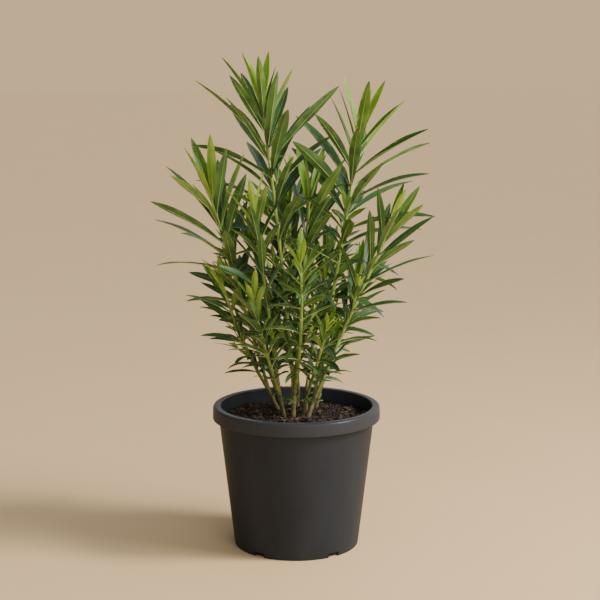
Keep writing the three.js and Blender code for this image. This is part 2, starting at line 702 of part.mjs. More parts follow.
const container = new THREE.Group();
container.add(meshAt("pot", potGeometry(), [0, 0, 0], materialOf("pot", POT_COLOUR, 0.55)));
const soilAt = [0, 0, FLOOR + GAP];
const plug = soilGeometry(canes.map((cane) => cane.limb));
container.add(meshAt("soil", plug, soilAt, materialOf("soil", SOIL_COLOUR, 0.95)));
oleander.add(container);

// One group for each cane, with its boughs and their foliage. A bough is cut clear of its cane, and of
// the boughs that leave the same fork before it.
for (const cane of canes) {
  const clump = new THREE.Group();
  const caneSolid = largestPiece(cutAtSoil(solidFrom(limbGeometry(cane.limb))));
  const bark = materialOf(`bark_${cane.name}`, BARK_COLOUR, 0.8);
  clump.add(meshAt(`cane_${cane.name}`, geometryFrom(caneSolid), cane.limb.curve[0], bark));
  const taken = [solidFrom(limbGeometry(cane.limb, GAP))];
  for (const shoot of shoots.filter((one) => one.cane === cane.name)) {
    const limb = boughLimb(shoot);
    const whole = solidFrom(limbGeometry(limb));
    const bough = taken.reduce((solid, other) => solid.subtract(other), whole);
    const green = materialOf(`bark_${shoot.name}`, BARK_COLOUR, 0.8);
    clump.add(meshAt(`bough_${shoot.name}`, geometryFrom(largestPiece(bough)), cane.fork, green));
    taken.push(solidFrom(limbGeometry(limb, GAP)));
    const leafGreen = materialOf(`leaves_${shoot.name}`, LEAF_COLOUR, 0.5);
    const foliageAt = pointOn(shoot.curve, foliageLimb(shoot).from);
    clump.add(meshAt(`foliage_${shoot.name}`, foliageGeometry(shoot), foliageAt, leafGreen));
  }
  oleander.add(clump);
}

export default oleander;
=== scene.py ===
import math
from functools import partial
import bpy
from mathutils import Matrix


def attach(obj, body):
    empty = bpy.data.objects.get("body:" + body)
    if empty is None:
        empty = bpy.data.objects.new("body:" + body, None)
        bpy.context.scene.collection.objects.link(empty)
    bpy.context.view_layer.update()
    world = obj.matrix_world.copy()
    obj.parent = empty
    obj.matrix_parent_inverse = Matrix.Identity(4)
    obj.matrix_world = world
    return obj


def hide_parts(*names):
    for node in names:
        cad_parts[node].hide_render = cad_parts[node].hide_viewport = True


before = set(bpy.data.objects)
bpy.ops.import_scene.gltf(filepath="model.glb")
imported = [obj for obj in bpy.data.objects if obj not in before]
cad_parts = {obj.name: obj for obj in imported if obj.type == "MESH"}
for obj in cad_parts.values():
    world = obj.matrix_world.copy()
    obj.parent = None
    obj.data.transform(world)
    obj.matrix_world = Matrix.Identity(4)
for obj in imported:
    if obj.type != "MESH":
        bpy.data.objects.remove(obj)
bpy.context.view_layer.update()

from types import SimpleNamespace as Record

import bmesh
import bpy
import numpy as np
from mathutils import Euler, Matrix, Vector, noise
from mathutils.bvhtree import BVHTree

# A potted oleander. Lengths are in millimetres, as in the solids, and turn into metres where a mesh is made.
MM = 0.001

# Pot
RIM_RADIUS = 140
RIM_TOP = 238.6
RIM_BAND = 22.4
LIP_RADIUS = 127
WALL_TOP_RADIUS = 130
BASE_RADIUS = 104.6
WALL = 2.6
FLOOR = 3.5
POT_SIDES = 192
WALL_HEIGHTS = range(10, 210, 10)
STRAIGHT_FROM = 205
FOOT_INSET = 2.5
NOOK_DROP = 1.6
LIP_DROP = 0.3
POT_ROUNDS = {"foot": 1.6, "nook": 1.4, "band": 1.2, "rim": 4.6, "lip": 1.8}
NOTCH = Record(count=5, width=20, height=8, depth=9, first_degrees=18)

# Potting soil
SOIL_LEVEL = 212
SOIL_DOME = 3
SOIL_LUMP = 2.4
SOIL_LUMPS = Record(waves=0.05, share=2.2)
SOIL_CRUMBS = Record(waves=0.22, height=6)
SOIL_LIFT = 0.5
SOIL_RINGS = 70
SOIL_SECTORS = 200

# Space that leaves keep from other limbs and leaves
LEAF_CLEARANCE = 0.5
POT_CLEARANCE = 3

# Stems: radius by the distance below the growing tip, and a swelling where a cane leaves the soil
STEM_RADIUS = [[0, 1.5], [25, 2.2], [110, 2.7], [300, 2.9], [480, 3]]
FOOT_SWELLING = 0.8
FOOT_SWELLING_SHARE = 0.3
CANE_SIDES = 8
CANE_STEPS = 4
BOUGH_STEPS = 3
SHOOT_SIDES = 4
SHOOT_STEPS = 4
CURVE_STEPS = 32
GAP = 0.3

# Whorls of three leaves, read off by the distance below the growing tip. Angles are in degrees.
LEAVES_PER_WHORL = 3
LEAF_TURN = 120
WHORL_TURN = 60
FIRST_WHORL = 5
LOWEST_WHORL_ROOM = 4
WHORL_GAP = [[0, 20], [60, 26], [200, 33]]
GAP_VARIES = 0.2
YOUNG_SHARE = [[0, 0.56], [28, 0.72], [70, 0.95], [110, 1]]
SPREAD = [[0, 14], [30, 26], [80, 37], [160, 46], [260, 54]]
BEND = [[0, 5], [40, 11], [100, 22], [180, 32], [280, 42]]

# How far the draws take each leaf from its rule, and how a leaf without room turns aside
LEAF_VARIES = Record(bearing=24, spread=14, bend=1, length=0.3, roll=70)
ASIDE = Record(bearing=70, spread=16, shorter=0.05)
ATTEMPTS = 5
LEAF_ANGLES = ["bearing", "spread", "bend", "roll"]

# Leaf length grows with the height of its whorl
LEAF_LONGEST = 172
LEAF_START_HEIGHT = 218
LEAF_FULL_RISE = 430
LEAF_GROWTH_POWER = 0.62
LEAF_LOWEST_SHARE = 0.12

# Blade of the coarse leaf that the clearance test uses
LEAF_CORNERS = 3
LEAF_RINGS = [0.35, 0.75]
SMALL_LEAF = 110
SMALL_LEAF_RINGS = [0.58]
LEAF_WIDTH = Record(least=2, share=0.113)
LEAF_OUTLINE = Record(forward=1.25, fullness=0.72)
KEEL = Record(least=1.2, share=0.014)
MIDRIB_STEPS = 20
SHARED_ROOT = 12

# Side twigs in the axils of older whorls. A pair of numbers is a least value and the span above it.
TWIG_SIDES = 3
TWIG_STEPS = 2
TWIG_RADIUS = [[0, 1.3], [1, 0.8]]
TWIG_FROM = 95
TWIG_SHARE = {"far_right": 0.15}
TWIG_SHARE_ELSEWHERE = 0.35
TWIG_LEAN = (32, 16)
TWIG_LENGTH = (26, 26)
TWIG_FULL_REACH = 95
TWIG_UPTURN = 0.7
TWIG_WHORLS = Record(first=3, gap=16, gap_share=0.12, leafy_share=0.72, age_share=2.2)
TWIG_LEAF_SHARE = 0.45
SPURS = {"far_right": Record(below=178, bearing=262, length=72)}
SPUR_LEAN = 40
SPUR_ORDER = 90

# Factors that give each twig and leaf its own seed, and what is added at the end
TWIG_SEEDS = [104729, 17, 5]
LEAF_SEEDS = [7919, 31, 7, 1]
TWIG_LEAF_SEEDS = [6007, 131, 37, 11, 3]
SPRIG_SEEDS = [3251, 97, 13]
SEED_LIMIT = 0xFFFFFFFF
SEED_STEP = 0x6D2B79F5
CANE_SPRIG_ORDER = 700
DRESSING_SEED = 900001

# Canes: foot on the soil, fork, and radius at the fork
CANE_COLUMNS = ["foot", "fork", "radius"]
CANE_ROWS = {
    "centre": [(-6, -3), (-4, -2, 252), 4.3],
    "right": [(18, -3), (28, 5, 240), 3.9],
    "left": [(-19, 0), (-27, -4, 250), 3.6],
    "left_rear": [(-29, 44), (-46, 42, 250), 3.4],
    "right_front": [(9, 14), (17, 7, 250), 2.8],
    "right_rear": [(16, 42), (18, 46, 258), 3],
    "rear": [(1, 60), (3, 58, 250), 3.4],
    "rear_left": [(-24, 66), (-36, 70, 248), 3.3],
    "rear_right": [(32, 58), (40, 60, 246), 3.3],
}

# Shoots: each leaves the fork of its cane, bends once and ends in a growing tip
SHOOT_COLUMNS = ["cane", "bend", "tip", "bare", "bearing", "seed", "openness", "size", "spacing"]
SHOOT_ROWS = {
    "tall_left": ["centre", (-22, 15, 488), (-56, 30, 728), 50, 110, 388, 1.04, 0.97, 0.88],
    "tall_right": ["right", (69, 17, 460), (104, 30, 681), 32, 30, 842, 1.24, 1.04, 0.84],
    "far_right": ["right", (88, -8, 395), (160, -15, 547), 30, 66, 1592, 0.8, 0.97, 0.92],
    "far_left": ["left_rear", (-94, 38, 420), (-139, 10, 578), 20, 22, 181, 0.95, 1.18, 1.04],
    "low_left": ["left_rear", (-93, 12, 335), (-121, -20, 445), 20, 75, 677, 1.06, 0.95, 1.12],
    "mid_left": ["left", (-47, -8, 408), (-68, -30, 563), 26, 30, 1938, 0.85, 0.8, 1.04],
    "front_left": ["left", (-54, -38, 345), (-70, -75, 423), 26, 30, 1081, 0.84, 0.92, 0.9],
    "centre": ["centre", (9, 14, 415), (22, 20, 580), 46, 75, 774, 1, 1.1, 1],
    "front": ["centre", (14, -46, 370), (6, -95, 490), 34, 70, 550, 1.35, 0.78, 0.84],
    "front_right": ["right_front", (34, -32, 310), (50, -52, 376), 14, 98, 1458, 1.28, 0.86, 0.86],
    "rear_right": ["right_rear", (30, 62, 355), (59, 75, 469), 14, 18, 478, 1.1, 1.08, 0.92],
    "rear_centre": ["rear", (-4, 74, 410), (-14, 92, 555), 36, 66, 1576, 0.89, 1.08, 0.86],
    "rear_left": ["rear", (-30, 84, 380), (-78, 104, 500), 36, 114, 1006, 0.89, 1.08, 0.88],
    "back_left": ["rear_left", (-70, 96, 350), (-112, 112, 425), 24, 81, 809, 1.12, 1.08, 0.92],
    "back_low": ["rear_left", (-38, 108, 340), (-34, 140, 420), 24, 84, 509, 0.8, 1.08, 1.25],
    "back_right": ["rear_right", (78, 80, 350), (112, 98, 440), 24, 74, 1024, 0.89, 1.08, 1.04],
    "back_low_right": ["rear_right", (52, 100, 340), (48, 138, 425), 24, 80, 659, 0.8, 1.06, 0.84],
}
CANES = [Record(name=name, **dict(zip(CANE_COLUMNS, row))) for name, row in CANE_ROWS.items()]
SHOOTS = [Record(name=name, **dict(zip(SHOOT_COLUMNS, row))) for name, row in SHOOT_ROWS.items()]
FOLIAGE_NODES = ["foliage_" + shoot.name for shoot in SHOOTS]

# Leaves: the true outline, folded along the midrib, and the midrib as a slim spindle
BLADE_SHARES = [0, 0.03, 0.07, 0.13, 0.2, 0.28, 0.37, 0.46, 0.55, 0.64, 0.73, 0.81, 0.88, 0.94, 0.98, 1]
SMALL_BLADE = 55
SMALL_BLADE_SHARES = [0, 0.06, 0.15, 0.3, 0.5, 0.7, 0.86, 0.96, 1]
BLADE_ACROSS = [1, 0.5, 0, -0.5, -1, -0.5, 0, 0.5]
BLADE_UNDER = [False] * 5 + [True] * 3
BLADE_KINDS = [0] * 4 + [1] * 4
BLADE_FOLD = [[0, 28], [0.15, 23], [0.5, 18], [1, 12]]
BLADE_ARCH = 0.05
BLADE_THICKNESS = 0.45
PETIOLE = Record(half_width=1.0, least_share=0.35, full_length=160, reach=0.2)
TIP_HALF_WIDTH = 0.12
SMALL_LEAF_FULLER = [[20, 1.25], [60, 1.18], [110, 1.02], [150, 1]]
MIDRIB_SHARES = [0, 0.06, 0.15, 0.27, 0.4, 0.53, 0.66, 0.79, 0.9, 0.97]
MIDRIB_HALF_WIDTH = [[0, 0.85], [0.15, 0.54], [0.6, 0.34], [1, 0.12]]
MIDRIB_DEPTH = [[0, 1.5], [0.15, 1.15], [0.6, 0.75], [1, 0.45]]
MIDRIB_SECTION = [(1, 0.024, 0), (0.45, 0.12, 0), (-0.45, 0.12, 0), (-1, 0.024, 0), (-0.6, 0, 1), (0.6, 0, 1)]
MIDRIB_SIZE = Record(least=0.55, per_length=260, most=1.1)

# Bends of a living leaf, its tint by age, and the dry tips of some old leaves
LEAF_TWIST = 44
LEAF_LIFE = {"fold": (0.55, 1.1), "ripple": (0.03, 0.07), "ripples": (9, 7), "phase": (0, 6.28)}
TINT_VARIES = 40
DRY_FROM = 70
DRY_SHARE = 0.3
DRY_FAR_SHARE = 0.4

# Sprigs: small leaves in the axils, at the growing tips and low on the canes
SPRIG_FROM = 55
SPRIG_CHANCE = 0.36
SPRIG_LEAVES = 3
SPRIG_LEAF = (18, 34)
SPRIG_LEAN = 0.75
SPRIG_SPREAD = (12, 26)
SPRIG_BEND = (8, 34)
SPRIG_TINT = 70
BUD_LEAVES = 4
BUD_LEAF = (14, 20)
BUD_TURN = 90
BUD_FIRST_TURN = 30
BUD_SPREAD = (4, 9)
BUD_DEPTH = 2
CANE_SPRIGS = 2
CANE_SPRIG_PLACE = (0.45, 0.5)
CANE_SPRIG_SIZE = 0.5
CANE_SPRIG_TINT = 120

# Bark: rings where whorls stood, scars where their leaves stood, and fine relief
RING_EVERY = 2.2
NODE_SWELLING = 0.13
NODE_REACH = 2.6
NODE_EVERY = 19
SCAR_PROUD = 0.5
SCAR_LOBES = 1.5
RELIEF_WAVES = 0.35
BARK_TUBES = {"cane": (20, 0.5), "bough": (16, 0.35), "shoot": (12, 0.25), "twig": (8, 0.12)}
CANE_BURIED = Record(depth=4, share=0.08, past_fork=1.0)
CANE_NODES = Record(count=2, first=0.3, step=0.4, bearing=40, turn=60, turn_by_cane=25)

# Chips on the soil: how many, seed, least and greatest length, and dark and light colour
CHIPS = {
    "soil_crumbs": (3400, 311, (1.6, 5), (20, 15, 11), (78, 62, 48)),
    "soil_bark": (380, 733, (4, 10), (32, 23, 16), (100, 77, 55)),
    "soil_bark_bright": (28, 977, (3, 7), (104, 68, 40), (158, 112, 68)),
    "soil_perlite": (150, 557, (0.9, 2.2), (126, 118, 104), (182, 174, 160)),
}
CHIP_WIDTH = (0.45, 0.35)
CHIP_THICKNESS = (0.18, 0.3)
CHIP_JITTER = (0.62, 0.55)
CHIP_TILT = 0.9
CHIP_LIFT = 0.4
CHIP_EDGE_ROOM = 5
FULL_TURN = 6.28

# Leaf colours by age: greatest distance below the tip, upper side, its deeper patches and underside as a
# screen's colours from 0 to 255, roughness, and light that shines through
LEAF_TINTS = {
    "new": (14, (132, 172, 42), (104, 148, 36), (142, 170, 66), 0.38, 0.3),
    "young": (44, (92, 128, 46), (70, 108, 42), (114, 144, 64), 0.38, 0.2),
    "full": (150, (64, 98, 54), (50, 82, 48), (90, 126, 64), 0.36, 0.14),
    "old": (1000, (60, 92, 52), (47, 75, 46), (88, 122, 60), 0.36, 0.1),
}
LEAF_WARMER = (1.2, 1.06, 0.9)
DRY_TINT = ((104, 90, 54), (78, 64, 40))
RIB_TINT = ((190, 206, 140), (152, 178, 98))

# Bark colours by the share of the way up to where the shoots are all green
BARK_TINTS = {
    0: (100, 84, 58), 0.07: (116, 108, 66), 0.18: (134, 150, 70), 0.45: (150, 180, 80), 1: (178, 208, 96),
}
BARK_GREEN_HEIGHT = 620
BARK_STREAK = (0.42, 0.38, 0.3)
BARK_SPECK = (150, 138, 98)
# The band colour is a painted highlight: the rim band is drawn paler where light from above falls on it.
PLASTIC = {"shade": (36, 40, 47), "light": (45, 49, 56), "band": (53, 56, 61), "dust": (80, 80, 80)}
COMPOST_TINTS = {0.32: (10, 8, 6), 0.52: (28, 20, 15), 0.72: (62, 46, 33)}
FLOOR_TINT = ((234, 198, 147), (241, 205, 156))

# Camera, in millimetres and radians
CAMERA = Record(distance=2335.18, height=795.635, pitch=0.1615, yaw=0.0026, lens=85.58)
SENSOR_WIDTH = 36
FARTHEST_VIEW = 50000

# Studio: metres, watts and degrees. A soft light has its place, size, power and colour.
FLOOR_REACH = 60
SKY_BAND = (0.05, 0.18)
SKY_SIDES = (-0.7, 0.7)
SKY = {"horizon": (0.88, (239, 205, 160)), "left": (0.16, (232, 236, 242)), "right": (0.9, (236, 239, 242))}
LIGHT_AIM = (0, 0, 0.4)
SOFT_LIGHTS = {
    "softbox": ((1.9, -0.7, 1.5), 0.9, 44, (1, 0.95, 0.87)),
    "front": ((0.9, -2.4, 1.0), 1.4, 20, (1, 0.97, 0.93)),
}
SUN = Record(direction=(1, -0.15, 0.85), strength=2.2, softness=14, colour=(1, 0.95, 0.87))


# Growth
def unit(a):
    return a / math.sqrt(float(a @ a))


def cross(a, b):
    return np.array([a[1] * b[2] - a[2] * b[1], a[2] * b[0] - a[0] * b[2], a[0] * b[1] - a[1] * b[0]])


def random_from(seed):
    """A repeatable stream of numbers from 0 to 1 for each seed."""
    state = seed & SEED_LIMIT

    def draw():
        nonlocal state
        state = (state + SEED_STEP) & SEED_LIMIT
        mix = ((state ^ (state >> 15)) * (state | 1)) & SEED_LIMIT
        mix = ((mix + (((mix ^ (mix >> 7)) * (mix | 61)) & SEED_LIMIT)) ^ mix) & SEED_LIMIT
        return (mix ^ (mix >> 14)) / (SEED_LIMIT + 1)

    return draw


def either(draw, span):
    """A draw to both sides of zero, over a range from end to end."""
    return span * (draw() - 0.5)


def above(draw, least, span):
    """A draw from a least value up, over a span."""
    return least + span * draw()


def seed_from(factors, *numbers):
    """A seed from numbers times their factors, plus the last factor."""
    return sum(number * factor for number, factor in zip(numbers, factors)) + factors[-1]


def read_table(table, x):
    """Straight between the rows of [x, y], and level outside them."""
    return np.interp(x, *zip(*table))


def point_on(curve, place):
    """A limb follows a curve with one bend: [start, bend, tip], with places from 0 to 1."""
    start, bend, tip = curve
    return start * (1 - place) ** 2 + bend * (2 * place * (1 - place)) + tip * place**2


def direction_on(curve, place):
    start, bend, tip = curve
    return unit((bend - start) * (2 * (1 - place)) + (tip - bend) * (2 * place))


def length_of(curve):
    points = [point_on(curve, i / CURVE_STEPS) for i in range(CURVE_STEPS + 1)]
    return sum(math.dist(a, b) for a, b in zip(points, points[1:]))


def place_below_tip(curve, below):
    walked = 0
    last = point_on(curve, 1)
    for i in range(1, CURVE_STEPS + 1):
        following = point_on(curve, 1 - i / CURVE_STEPS)
        step = math.dist(last, following)
        if walked + step >= below:
            return 1 - (i - 1 + (below - walked) / step) / CURVE_STEPS
        walked += step
        last = following
    return 0.0


def spot_on(curve, place):
    return point_on(curve, place), direction_on(curve, place)


def spot_below_tip(curve, below):
    return spot_on(curve, place_below_tip(curve, below))


def outward(axis, bearing):
    """Square to an axis at a bearing, where bearing 0 lies as near to +X as it can."""
    first = unit(np.array([1.0, 0.0, 0.0]) - axis * axis[0])
    return first * math.cos(bearing) + cross(axis, first) * math.sin(bearing)


def leaf_reach(height):
    rise = (height - LEAF_START_HEIGHT) / LEAF_FULL_RISE
    return LEAF_LONGEST * max(LEAF_LOWEST_SHARE, min(1, rise)) ** LEAF_GROWTH_POWER


def twig_vigour(height):
    return min(1, leaf_reach(height) / TWIG_FULL_REACH)


def whorl_turn(bearing, order, leaf):
    """Bearing of a leaf, where each whorl turns on from the one before."""
    return bearing + WHORL_TURN * order + LEAF_TURN * leaf


def leaf_record(root, axis, below, seed, length, *degrees):
    """A leaf on an axis, with its age told by the distance below the tip."""
    angles = dict(zip(LEAF_ANGLES, map(math.radians, degrees)))
    return Record(root=root, axis=axis, below=below, seed=seed, length=length, twist=0, **angles)


def leaf_choices(root, axis, below, seed, turn, reach, openness):
    """A leaf's natural place first, then others that turn aside from it."""
    draw = random_from(seed)
    choices = []
    for attempt in range(ATTEMPTS):
        aside = min(attempt, 1)
        bearing = turn + either(draw, LEAF_VARIES.bearing) + aside * either(draw, ASIDE.bearing)
        wander = either(draw, LEAF_VARIES.spread) + aside * either(draw, ASIDE.spread)
        spread = read_table(SPREAD, below) * openness + wander
        bend = read_table(BEND, below) * (1 + either(draw, LEAF_VARIES.bend))
        share = (1 + either(draw, LEAF_VARIES.length)) * (1 - ASIDE.shorter * attempt)
        length = reach * read_table(YOUNG_SHARE, below) * share
        roll = either(draw, LEAF_VARIES.roll)
        choices.append(leaf_record(root, axis, below, seed, length, bearing, spread, bend, roll))
    return choices


def whorls_of(shoot):
    """Root, axis, distance below the tip and order of each whorl, from the tip down."""
    draw = random_from(shoot.seed)
    whorls = []
    below = FIRST_WHORL
    while below < shoot.length - shoot.bare - LOWEST_WHORL_ROOM:
        whorls.append((*spot_below_tip(shoot.curve, below), below, len(whorls)))
        below += read_table(WHORL_GAP, below) * (1 + either(draw, GAP_VARIES)) * shoot.spacing
    return whorls


def twig_from(root, axis, turn, lean, length, order):
    """A side twig leaves its axil outwards, then turns up."""
    direction = axis * math.cos(lean) + outward(axis, math.radians(turn)) * math.sin(lean)
    knee = root + direction * (length / 2)
    upwards = unit(direction + np.array([0, 0, TWIG_UPTURN]))
    curve = [root, knee, knee + upwards * (length / 2)]
    return Record(curve=curve, length=length, turn=turn, order=order)


def twigs_of(shoot):
    twigs = []
    for root, axis, below, order in whorls_of(shoot):
        draw = random_from(seed_from(TWIG_SEEDS, shoot.seed, order))
        if below > TWIG_FROM and draw() < TWIG_SHARE.get(shoot.name, TWIG_SHARE_ELSEWHERE):
            turn = whorl_turn(shoot.bearing, order + 1, math.floor(LEAVES_PER_WHORL * draw()))
            lean = math.radians(above(draw, *TWIG_LEAN))
            length = above(draw, *TWIG_LENGTH) * twig_vigour(root[2])
            twigs.append(twig_from(root, axis, turn, lean, length, order))
    if shoot.name in SPURS:
        spur = SPURS[shoot.name]
        root, axis = spot_below_tip(shoot.curve, spur.below)
        twigs.append(twig_from(root, axis, spur.bearing, math.radians(SPUR_LEAN), spur.length, SPUR_ORDER))
    return twigs


def leaves_of(shoot):
    """Leaves of a shoot from its tip down, then those of its side twigs."""
    leaves = []
    for root, axis, below, order in whorls_of(shoot):
        reach = leaf_reach(root[2]) * shoot.size
        for leaf in range(LEAVES_PER_WHORL):
            seed = seed_from(LEAF_SEEDS, shoot.seed, order, leaf)
            turn = whorl_turn(shoot.bearing, order, leaf)
            leaves.append(leaf_choices(root, axis, below, seed, turn, reach, shoot.openness))
    for twig in shoot.twigs:
        below = TWIG_WHORLS.first
        order = 0
        while below < twig.length * TWIG_WHORLS.leafy_share:
            root, axis = spot_below_tip(twig.curve, below)
            reach = leaf_reach(root[2]) * TWIG_LEAF_SHARE
            for leaf in range(LEAVES_PER_WHORL):
                seed = seed_from(TWIG_LEAF_SEEDS, shoot.seed, twig.order, order, leaf)
                turn = whorl_turn(twig.turn, order, leaf)
                leaves.append(leaf_choices(root, axis, below * TWIG_WHORLS.age_share, seed, turn, reach, 1))
            below += TWIG_WHORLS.gap + TWIG_WHORLS.gap_share * twig.length
            order += 1
    return leaves


def leaf_stations(leaf, shares):
    """Centres, directions, sides and faces of a leaf at shares of its length."""
    out = outward(leaf.axis, leaf.bearing)
    start = leaf.axis * math.cos(leaf.spread) + out * math.sin(leaf.spread)
    level = math.hypot(start[0], start[1])
    tilt = math.atan2(level, start[2])
    compass = start[:2] / level

    def along(angles):
        flat = np.sin(angles)
        return np.stack([compass[0] * flat, compass[1] * flat, np.cos(angles)], 1)

    middles = tilt + leaf.bend * (np.arange(MIDRIB_STEPS) + 0.5) / MIDRIB_STEPS
    steps = along(middles) * (leaf.length / MIDRIB_STEPS)
    midrib = np.vstack([leaf.root, leaf.root + np.cumsum(steps, 0)])
    marks = np.linspace(0, 1, MIDRIB_STEPS + 1)
    shares = np.asarray(shares, float)
    centres = np.stack([np.interp(shares, marks, midrib[:, k]) for k in range(3)], 1)
    directions = along(tilt + leaf.bend * shares)
    across = np.array([-compass[1], compass[0], 0.0])
    upwards = np.cross(directions, across)
    rolls = (leaf.roll + leaf.twist * shares)[:, None]
    sides = across * np.cos(rolls) + upwards * np.sin(rolls)
    return centres, directions, sides, np.cross(directions, sides)


def leaf_half_width(length, share):
    widest = (LEAF_WIDTH.least + LEAF_WIDTH.share * length) / 2
    rounded = np.sin(math.pi * np.minimum(share, 1) ** LEAF_OUTLINE.forward).clip(0)
    return widest * rounded ** LEAF_OUTLINE.fullness


class Shape:
    """A closed shape for the clearance test, with its search tree and its box."""

    def __init__(self, points, faces):
        self.points = np.asarray(points)
        self.tree = BVHTree.FromPolygons([tuple(p) for p in points], faces)
        self.low = self.points.min(0)
        self.high = self.points.max(0)

    def meets(self, other):
        if (self.low > other.high).any() or (other.low > self.high).any():
            return False
        return bool(self.tree.overlap(other.tree))


def skin(rings, sides):
    """Points and faces of a skin over rings of points. A ring of one point closes an end."""
    faces = []
    first = 0
    for lower, upper in zip(rings, rings[1:]):
        second = first + len(lower)
        for k in range(sides):
            beside = (k + 1) % sides
            below = [first + k % len(lower), first + beside % len(lower)]
            on_top = [second + beside % len(upper), second + k % len(upper)]
            faces.append(tuple(dict.fromkeys(below + on_top)))
        first = second
    return [point for points in rings for point in points], faces


def coarse_leaf(leaf, grow=0, start=0):
    """A blade of root, tip, and rings of two edges and a keel, thicker all round by "grow"."""
    shares = [0, *(SMALL_LEAF_RINGS if leaf.length < SMALL_LEAF else LEAF_RINGS), 1]
    centres, directions, sides, faces = leaf_stations(leaf, shares)
    keel = KEEL.least + KEEL.share * leaf.length
    rings = [[centres[0] + directions[0] * start]]
    for share, centre, side, face in zip(shares[1:-1], centres[1:], sides[1:], faces[1:]):
        across = float(leaf_half_width(leaf.length, share)) + grow
        edges = [centre + side * across + face * grow, centre - side * across + face * grow]
        rings.append([*edges, centre - face * (keel + grow)])
    rings.append([centres[-1] + directions[-1] * grow])
    return Shape(*skin(rings, LEAF_CORNERS))


def tube(rings):
    """A skin over rings of points with a flat cap at each end."""
    sides = len(rings[0])
    points, faces = skin(rings, sides)
    cap = tuple(range(sides))
    return points, [cap[::-1], *faces, tuple(k + len(points) - sides for k in cap)]


def coarse_limb(curve, radius_at, begin, end, sides, steps, grow=0):
    """A round limb along a stretch of a curve, thicker and longer all round by "grow"."""
    rings = []
    for step in range(steps + 1):
        place = begin + (end - begin) * (step / steps)
        centre, direction = spot_on(curve, place)
        centre = centre + direction * {0: -grow, steps: grow}.get(step, 0)
        radius = radius_at(place) + grow / math.cos(math.pi / sides)
        rings.append([centre + outward(direction, 2 * math.pi * k / sides) * radius for k in range(sides)])
    return Shape(*tube(rings))


def clear_of_pot(shape):
    """Twigs and leaves stay above the soil, and clear of the rim."""
    out = np.hypot(shape.points[:, 0], shape.points[:, 1])
    ground = np.where(out > LIP_RADIUS - POT_CLEARANCE, RIM_TOP, SOIL_LEVEL + SOIL_DOME + SOIL_LUMP)
    return bool((shape.points[:, 2] > ground + POT_CLEARANCE).all())


def cane_radius(cane, place):
    return cane.radius + FOOT_SWELLING * max(0, 1 - place / FOOT_SWELLING_SHARE) ** 2


def stem_radius(shoot, place):
    return read_table(STEM_RADIUS, shoot.length * (1 - place))


def twig_radius(place):
    return read_table(TWIG_RADIUS, place)


def bare_limbs():
    """Canes, boughs and stems, each with the mass that owns it."""
    limbs = []
    for cane in CANES:
        start, fork = np.array([*cane.foot, SOIL_LEVEL], float), np.array(cane.fork, float)
        cane.curve = [start, (start + fork) * 0.5, fork]
        limb = partial(coarse_limb, cane.curve, partial(cane_radius, cane))
        limbs.append((None, limb(0, 1, CANE_SIDES, CANE_STEPS)))
    forks = {cane.name: cane.curve[2] for cane in CANES}
    for shoot in SHOOTS:
        shoot.curve = [forks[shoot.cane], np.array(shoot.bend, float), np.array(shoot.tip, float)]
        shoot.length = length_of(shoot.curve)
        shoot.bough_end = place_below_tip(shoot.curve, shoot.length - shoot.bare)
        shoot.stem_start = place_below_tip(shoot.curve, shoot.length - shoot.bare - GAP)
        limb = partial(coarse_limb, shoot.curve, partial(stem_radius, shoot))
        limbs.append((None, limb(0, shoot.bough_end, SHOOT_SIDES, BOUGH_STEPS)))
        limbs.append((shoot.name, limb(shoot.stem_start, 1, SHOOT_SIDES, SHOOT_STEPS)))
    return limbs


def grow_twigs(limbs):
    for shoot in SHOOTS:
        shoot.twigs = []
        for twig in twigs_of(shoot):
            limb = partial(coarse_limb, twig.curve, twig_radius, 0, 1, TWIG_SIDES, TWIG_STEPS)
            grown = limb(LEAF_CLEARANCE)
            touched = any(owner != shoot.name and grown.meets(other) for owner, other in limbs)
            if not touched and clear_of_pot(grown):
                shoot.twigs.append(twig)
                limbs.append((shoot.name, limb()))


def grow_leaves(limbs, placed):
    """The leaves that find a free place, by the rule of the solids."""
    leaves = []
    for shoot in SHOOTS:
        for choices in leaves_of(shoot):
            leaves += settle(choices, shoot.name, limbs, placed, 1)
    return leaves


def settle(choices, owner, limbs, placed, most=math.inf):
    """The choices that find a free place, up to the most that may settle."""
    others = [limb for name, limb in limbs if name != owner]
    settled = []
    for leaf in choices:
        if len(settled) < most and leaf_is_free(leaf, owner, others, placed):
            placed.append((owner, coarse_leaf(leaf), coarse_leaf(leaf, 0, SHARED_ROOT)))
            settled.append(leaf)
    return settled


def leaf_is_free(leaf, owner, limbs, placed):
    grown = coarse_leaf(leaf, LEAF_CLEARANCE)
    if not clear_of_pot(grown) or any(grown.meets(limb) for limb in limbs):
        return False
    blade = coarse_leaf(leaf, LEAF_CLEARANCE, SHARED_ROOT)
    touched = (blade.meets(outer) if name == owner else grown.meets(whole) for name, whole, outer in placed)
    return not any(touched)


# Meshes
def linear(tint):
    """A screen's colour, from 0 to 255, as the shader's values."""
    return tuple(((c / 255 + 0.055) / 1.055) ** 2.4 if c > 10 else c / 255 / 12.92 for c in tint)


def add_object(name, data):
    thing = bpy.data.objects.new(name, data)
    bpy.context.scene.collection.objects.link(thing)
    return thing


def soften(mesh, sharp):
    """Smooth shading, with sharp edges above an angle in degrees."""
    mesh.polygons.foreach_set("use_smooth", [True] * len(mesh.polygons))
    mesh.set_sharp_from_angle(angle=math.radians(sharp))


